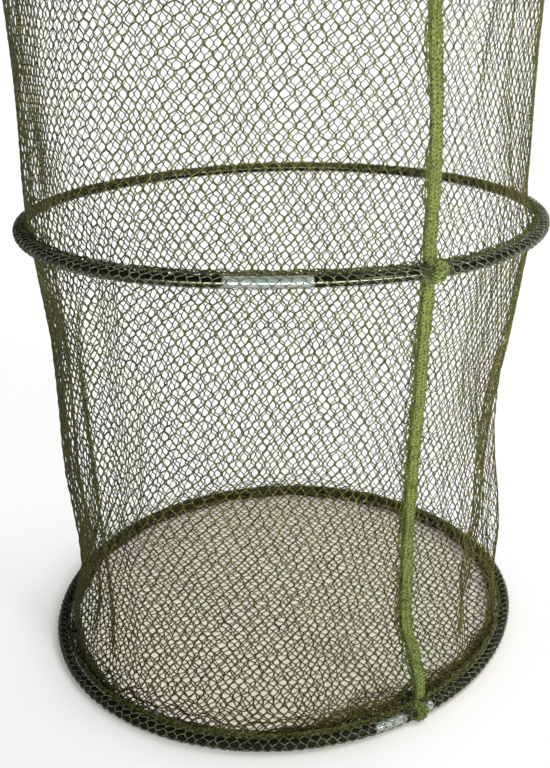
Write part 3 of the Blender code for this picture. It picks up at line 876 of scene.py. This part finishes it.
def knit_finish(name, dark, light, edge):
    """Knitted polyester: matt loops, with painted shade in the gaps between the stitches and a painted
    highlight on their crests, and painted shade that darkens it near the ground."""
    made, add, shader = new_material(
        name, Roughness=0.85, IOR=1.5, Sheen_Weight=0.12, Sheen_Roughness=0.45, Sheen_Tint="#c4d67c",
        Specular_IOR_Level=0.15)
    place = add("TexCoord").outputs["Object"]
    loft = add("NewGeometry").outputs["Pointiness"]
    fibre = add("TexNoise", {"Vector": place, "Scale": 1000 / 1.2, "Detail": 4.0})
    patch = add("TexNoise", {"Vector": place, "Scale": 1000 / 6, "Detail": 2.0})
    # Painted shade and highlight: the shape's pointiness darkens the gaps between stitches and lightens the
    # crests
    painted_stitch_light = add("MapRange", {0: loft, 1: 0.44, 2: 0.56})
    blend = add("Math", {0: fibre, 1: 1.2, 2: painted_stitch_light}, operation="MULTIPLY_ADD")
    share = add("MapRange", {0: blend, 1: 0.6, 2: 1.4})
    mixed = add("Mix", {SHARE: share, MIX_A: dark, MIX_B: light}, **RGB)
    stain = add("MapRange", {0: patch, 1: 0.52, 2: 0.75, 3: 0.0, 4: 0.6})
    stained = add("Mix", {SHARE: stain, MIX_A: mixed, MIX_B: edge}, **RGB)
    # Painted shade: the tape is mixed towards its dark colour near the ground
    level = add("SeparateXYZ", {0: place})
    painted_shade = add("MapRange", {0: level.outputs["Z"], 1: FLOOR, 2: 0.6 * FLOOR, 3: 0.24, 4: 0.0})
    final = add("Mix", {SHARE: painted_shade, MIX_A: stained, MIX_B: dark}, **RGB)
    bump = add("Bump", {"Height": fibre, "Strength": 0.5, "Distance": 0.0003})
    feed(shader, {"Base Color": final, "Normal": bump})
    return made


def tube_finish(name, smooth, rough):
    """Extruded black PVC: a glossy skin with faint draw lines, dulled by dust, and by the ground
    where it lies on it."""
    made, add, shader = new_material(name, IOR=1.53, Specular_IOR_Level=0.22, Specular_Tint="#eef2c4")
    place = add("TexCoord").outputs["Object"]
    dust = add("TexNoise", {"Vector": place, "Scale": 1000 / 14, "Detail": 5.0})
    mixed = add("Mix", {SHARE: dust, MIX_A: "#040403", MIX_B: "#0e0d08"}, **RGB)
    gloss = add("MapRange", {0: dust, 1: 0.3, 2: 0.7, 3: smooth, 4: rough})
    fine = add("TexNoise", {"Vector": place, "Scale": 1000 / 2.5, "Detail": 2.0})
    bump = add("Bump", {"Height": fine, "Strength": 0.12, "Distance": 0.0003})
    feed(shader, {"Base Color": mixed, "Roughness": gloss, "Normal": bump})
    return made


def joiner_finish():
    """Clear extruded PVC sleeve: a cool grey-blue tint, glossy, a little hazed by handling."""
    made, add, shader = new_material("clear_extruded_pvc", IOR=1.53, Transmission_Weight=0.72)
    place = add("TexCoord").outputs["Object"]
    haze = add("TexNoise", {"Vector": place, "Scale": 1000 / 9, "Detail": 4.0})
    mixed = add("Mix", {SHARE: haze, MIX_A: "#d2e4da", MIX_B: "#f2faf5"}, **RGB)
    gloss = add("MapRange", {0: haze, 1: 0.3, 2: 0.7, 3: 0.06, 4: 0.2})
    bump = add("Bump", {"Height": haze, "Strength": 0.15, "Distance": 0.0006})
    feed(shader, {"Base Color": mixed, "Roughness": gloss, "Normal": bump})
    return made


def wire_finish():
    """Galvanised spring wire: drawn, then dipped, so dull zinc with a faint crystal pattern."""
    made, add, shader = new_material("galvanised_spring_wire", Metallic=1.0)
    place = add("TexCoord").outputs["Object"]
    spangle = add("TexVoronoi", {"Vector": place, "Scale": 1000 / 2.2})
    mixed = add("Mix", {SHARE: spangle, MIX_A: "#b8babc", MIX_B: "#8f9294"}, **RGB)
    gloss = add("MapRange", {0: spangle, 1: 0.0, 2: 1.0, 3: 0.3, 4: 0.5})
    feed(shader, {"Base Color": mixed, "Roughness": gloss})
    return made


# ---- Assembly ----

NYLON = yarn_finish("knotless_nylon_netting", "#25250e", "#6e6e2e", 130, 93, 26, 0.12, 0.55)
NYLON_HEM = yarn_finish("knotless_nylon_hem", "#484932", "#98997a", 8, 288, 30, 0.12, 0.5)
GATHERED = yarn_finish("gathered_overlocked_hem", "#34381a", "#8a8c4a", 8, 600, 8, 0.2, 0.65)
THREAD = yarn_finish("spun_polyester_thread", "#2c350f", "#707c36", 400, 1, 9, 0.1, 0.6)
KNIT = knit_finish("knitted_polyester_tape", "#202a0c", "#97a55b", "#303a16")
# Painted shade: a darker copy of the knitted tape, for its end that lies in shade under the hem
KNIT_SHADED = knit_finish("knitted_polyester_painted_shade", "#121606", "#39421d", "#141807")
PVC = tube_finish("extruded_black_pvc", 0.14, 0.24)
PVC_SCUFFED = tube_finish("extruded_black_pvc_scuffed", 0.4, 0.6)
CLEAR = joiner_finish()
WIRE = wire_finish()

# The sectors that each wall's netting is made in, and the share of the flat sheet that its yarn
# covers, which is more on the left of the walls
WALL_COVER = {"front": 0.36, "right": 0.36, "back": 0.36, "left": 0.46}

for wall, surface in ((UPPER, upper_wall), (LOWER, lower_wall)):
    anchor = HOOP_HEIGHTS[wall.hoop]
    fold = (f"{wall.name}_fold", anchor)
    low_height = WALL_EDGE_RISE + anchor - HOOP_SPACING
    tape = add_piece(
        f"{wall.name}_knitted_tape", KNIT, knitted_tape(wall, low_height), wall.hoop, "seam_tape",
        f"{wall.name}_seam_tape", fold=fold)
    edges = add_piece(
        f"{wall.name}_seam_allowance", THREAD, net_edges(wall, low_height), wall.hoop, "net", fold=fold)
    for number, (sector, cover) in enumerate(WALL_COVER.items()):
        first, last = (round(2 * wall.columns * (number + end - 0.5) / len(WALL_COVER)) for end in (0, 1))
        form = netting(
            surface, first, last, wall.half_rows, wall.seed, wall.columns, wall.yarn, fuller=wall.fuller)
        net = add_piece(
            f"{wall.name}_netting_{sector}", NYLON, form, wall.hoop, "net", f"{wall.name}_net_wall",
            fold=fold)

for seed, (name, height) in enumerate(HOOP_HEIGHTS.items()):
    def add_to_hoop(kind, finish, form, slot, *nodes):
        return add_piece(f"{name}_{kind}", finish, form, name, slot, *(f"{name}_{node}" for node in nodes))

    joiner_azimuth, lashing_azimuth, lashing_low = map(math.radians, HOOP_PLACES[name])
    half = JOINER_LENGTH / HOOP_RADIUS / 2
    start, end = joiner_azimuth - half, joiner_azimuth + half
    shy = TUBE_END_GAP / HOOP_RADIUS
    form = round_bar(height, end + shy, start + TURN - shy, TUBE_RADIUS, TUBE_BORE)
    add_to_hoop("tube", PVC_SCUFFED if name == "base" else PVC, form, "black_tube", "hoop_tube")
    form = round_bar(height, start, end, TUBE_RADIUS, TUBE_BORE, 720, 32)
    add_to_hoop("clear_joiner", CLEAR, form, "clear_joiner", "hoop_joiner")
    shy = WIRE_END_GAP / HOOP_RADIUS / 2
    form = round_bar(height, joiner_azimuth + shy, joiner_azimuth + TURN - shy, WIRE_RADIUS, 0.0, 360, 12)
    add_to_hoop("spring_wire", WIRE, form, "galvanised_wire", "hoop_wire")
    form = netting(
        hem_surface(height, 41 + seed), 0, 2 * HEM_COLUMNS, HEM_HALF_ROWS, 51 + seed, HEM_COLUMNS, HEM_YARN,
        (0.06, 0.05))
    hem = add_to_hoop("hem_netting", NYLON_HEM, form, "net", "hem_casing")
    layers = [seam_surface(height, 61 + 3 * seed, layer) for layer in range(len(SEAM_SPANS))]
    form = layered(layers, SEAM_SPANS, SEAM_HALF_ROWS, 65, SEAM_COLUMNS, SEAM_YARN, (0.2, 0.2), SEAM_FULL)
    seam = add_to_hoop("gathered_seam", GATHERED, form, "hem_seam", "hem_seam")
    form = overlock_thread(height, 71 + 5 * seed, 260, SEAM_OUT, 0.0040)
    thread = add_to_hoop("overlock_thread", THREAD, form, "hem_seam")
    form = lashing(height, lashing_azimuth, lashing_low)
    wrap = add_to_hoop("knitted_lashing", KNIT, form, "seam_tape", "lashing")
    form = lashing(height, lashing_azimuth - TAIL_SHIFT, lashing_low, **TAIL)
    add_to_hoop("tape_under_hem", KNIT_SHADED, form, "seam_tape")

form = netting(
    bottom_surface, -2 * BOTTOM_COLUMNS, 2 * BOTTOM_COLUMNS, BOTTOM_ROWS, 91, 2 * BOTTOM_COLUMNS,
    BOTTOM_YARN, (0.08, 0.10), inside_bottom, EVEN)
bottom = add_piece("bottom_netting", NYLON, form, "base", "net", "bottom_net")
form = layered([bunch_surface], [BUNCH_SPAN], BUNCH_HALF_ROWS, 95, BUNCH_COLUMNS, LOOSE_YARN, (0.25, 0.25))
add_piece("bunched_netting", GATHERED, form, "base", "hem_seam")
layers = [heap_surface(110 + 7 * layer) for layer in range(HEAP_LAYERS)]
form = layered(layers, HEAP_LAYERS * [HEAP_SPAN], HEAP_HALF_ROWS, 97, HEAP_COLUMNS, HEAP_YARN, (0.3, 0.3))
add_piece("heaped_netting", GATHERED, form, "base", "hem_seam")


# ---- Stage, light and camera ----

WHITE = "#ffffff"
FLOOR_REACH = 80.0
FLOOR_GLOW = 1.06
# Shares of that glow by which the paper is lifted, close to the net and away from it
FLOOR_GLOW_NEAR = 0.12
FLOOR_GLOW_FAR = 0.58
# How far above it the paper feels the net, and how much it is then closed in
NET_ABOVE = 0.25
NET_CLOSED = (0.8, 0.95)
# A strip light that only gloss shows, as if reflected from the floor in front
STRIP_MIDDLE = (0.9, -2.1)
STRIP_HALF = (2.7, 1.4)
STRIP_SOFT = 0.9
STRIP_GLOW = 100.0


def stage_floor():
    """A wide sheet of white paper. Where the net stands over it, it glows less, and a dull yellow-green
    painted shade is mixed into its colour.
    """
    corners = ((-1, -1), (1, -1), (1, 1), (-1, 1))
    points = np.array([(FLOOR_REACH * x, FLOOR_REACH * y, FLOOR - FLOOR_GAP) for x, y in corners])
    made, add, shader = new_material("white_paper_floor", Roughness=0.95, Specular_IOR_Level=0.0)
    place = add("TexCoord").outputs["Object"]
    mottle = add("TexNoise", {"Vector": place, "Scale": 3.0, "Detail": 2.0})
    paper = add("Mix", {SHARE: mottle, MIX_A: "#f7f6f4", MIX_B: "#faf9f8"}, **RGB)
    above = add("AmbientOcclusion", {"Distance": NET_ABOVE}, samples=8).outputs["AO"]
    netted = add("MapRange", {0: above, 1: NET_CLOSED[0], 2: NET_CLOSED[1], 3: 1.0, 4: 0.0})
    away = add("VectorMath", {0: place, 1: (0, 0, FLOOR - FLOOR_GAP)}, operation="DISTANCE")
    # Painted shade: inside the hoop, where the net stands above, the paper is tinted a dull yellow-green
    painted_shade_disc = add("MapRange", {0: away, 1: 0.8 * HOOP_RADIUS, 2: 1.1 * HOOP_RADIUS, 3: 1.0, 4: 0.0})
    under = add("Math", {0: netted, 1: painted_shade_disc}, operation="MULTIPLY")
    mixed = add("Mix", {SHARE: under, MIX_A: paper, MIX_B: "#f4f1d6"}, **RGB)
    feed(shader, {"Base Color": mixed})
    glow = add("Emission", {"Color": WHITE, "Strength": FLOOR_GLOW})
    seen = add("LightPath")
    wide = add("MapRange", {0: away, 1: HOOP_RADIUS, 2: 1.25 * HOOP_RADIUS, 3: 1.0, 4: 0.0})
    near = add("Math", {0: netted, 1: wide}, operation="MULTIPLY")
    level = add("MapRange", {0: near, 3: FLOOR_GLOW_FAR, 4: FLOOR_GLOW_NEAR})
    share = add("Math", {0: seen.outputs["Is Camera Ray"], 1: level}, operation="MULTIPLY")
    both = add("MixShader", {0: share, 1: shader, 2: glow})
    spot = add("SeparateXYZ", {0: place})
    inside = seen.outputs["Is Glossy Ray"]
    for axis, middle, half in zip("XY", STRIP_MIDDLE, STRIP_HALF):
        off = add("Math", {0: spot.outputs[axis], 1: middle}, operation="SUBTRACT")
        size = add("Math", {0: off}, operation="ABSOLUTE")
        near = add("MapRange", {0: size, 1: half - STRIP_SOFT, 2: half, 3: 1.0, 4: 0.0})
        inside = add("Math", {0: inside, 1: near}, operation="MULTIPLY")
    strip = add("Emission", {"Color": WHITE, "Strength": STRIP_GLOW})
    glossed = add("MixShader", {0: inside, 1: both, 2: strip})
    feed(made.node_tree.nodes["Material Output"], {"Surface": glossed})
    add_object("floor", made, points, np.array([(0, 1, 2, 3)]))


CEILING = 0.25
SIDE_AZIMUTH = math.radians(70)
SIDE_GLOW = (0.26, 0.58)


def studio_world():
    """Soft light from all round, stronger from the right. The camera sees plain white, and gloss
    shows white walls under a dimmer ceiling."""
    world = bpy.data.worlds.new("studio")
    bpy.context.scene.world = world
    world.use_nodes = True
    add, nodes = partial(add_node, world.node_tree), world.node_tree.nodes
    soft = nodes["Background"]
    path = add("LightPath").outputs
    ray = add("TexCoord").outputs["Generated"]
    sideways = add("VectorMath", {0: ray, 1: tuple(at(SIDE_AZIMUTH, 1, 0))}, operation="DOT_PRODUCT")
    side = add("MapRange", {0: sideways, 1: -0.8, 2: 0.8, 3: SIDE_GLOW[0], 4: SIDE_GLOW[1]})
    feed(soft, {"Color": "#fffaf6", "Strength": side})
    height = add("SeparateXYZ", {0: ray})
    ceiling = add("MapRange", {0: height.outputs["Z"], 1: 0.02, 2: 0.3, 3: 1.0, 4: CEILING})
    plain = add("Math", {0: ceiling, 1: path["Is Camera Ray"]}, operation="MAXIMUM")
    white = add("Background", {"Color": WHITE, "Strength": plain})
    some = add("Math", {0: path["Is Camera Ray"], 1: path["Is Glossy Ray"]}, operation="ADD")
    seen = add("Math", {0: some, 1: path["Is Transmission Ray"]}, operation="ADD")
    both = add("MixShader", {0: seen, 1: soft, 2: white})
    feed(nodes["World Output"], {"Surface": both})


def turned_to(right, up, forward, place):
    """A matrix that puts a lamp or camera at a place, looking forward."""
    rows = np.eye(4)
    rows[:3, 0], rows[:3, 1], rows[:3, 2], rows[:3, 3] = right, up, -np.asarray(forward), place
    return Matrix(rows.tolist())


def soft_sun(name, azimuth, elevation, strength, spread, tint):
    """A far, wide, soft source, which lights the whole floor evenly. Its angles are in degrees."""
    lamp = bpy.data.lights.new(name, "SUN")
    lamp.energy = strength
    lamp.angle = math.radians(spread)
    lamp.color = colour(tint)[:3]
    elevation = math.radians(elevation)
    place = at(math.radians(azimuth), 3 * math.cos(elevation), 3 * math.sin(elevation))
    forward = unit(-place)
    right = unit(np.cross(forward, (0.0, 0.0, 1.0)))
    holder = bpy.data.objects.new(name, lamp)
    holder.matrix_world = turned_to(right, np.cross(right, forward), forward, place)
    bpy.context.scene.collection.objects.link(holder)


def photo_camera():
    """The camera of the photograph: pitched down, with a trace of yaw and roll."""
    (sin_p, cos_p), (sin_y, cos_y), (sin_r, cos_r) = (
        (math.sin(angle), math.cos(angle)) for angle in (CAMERA_PITCH, CAMERA_YAW, CAMERA_ROLL))
    level = np.array([cos_y, -sin_y, 0])
    raised = np.array([sin_p * sin_y, sin_p * cos_y, cos_p])
    forward = np.array([cos_p * sin_y, cos_p * cos_y, -sin_p])
    right = cos_r * level + sin_r * raised
    up = -sin_r * level + cos_r * raised
    data = bpy.data.cameras.new("photo_camera")
    data.lens = CAMERA_LENS
    data.clip_start = 0.02
    data.clip_end = 200
    camera = bpy.data.objects.new("photo_camera", data)
    camera.matrix_world = turned_to(right, up, forward, CAMERA_PLACE)
    bpy.context.scene.collection.objects.link(camera)
    bpy.context.scene.camera = camera


stage_floor()
studio_world()
soft_sun("key_light", azimuth=125, elevation=58, strength=1.65, spread=35, tint="#fbfcff")
soft_sun("front_light", azimuth=44, elevation=26, strength=1.5, spread=14, tint="#f6faff")
photo_camera()
bpy.context.scene.view_settings.view_transform = "Standard"
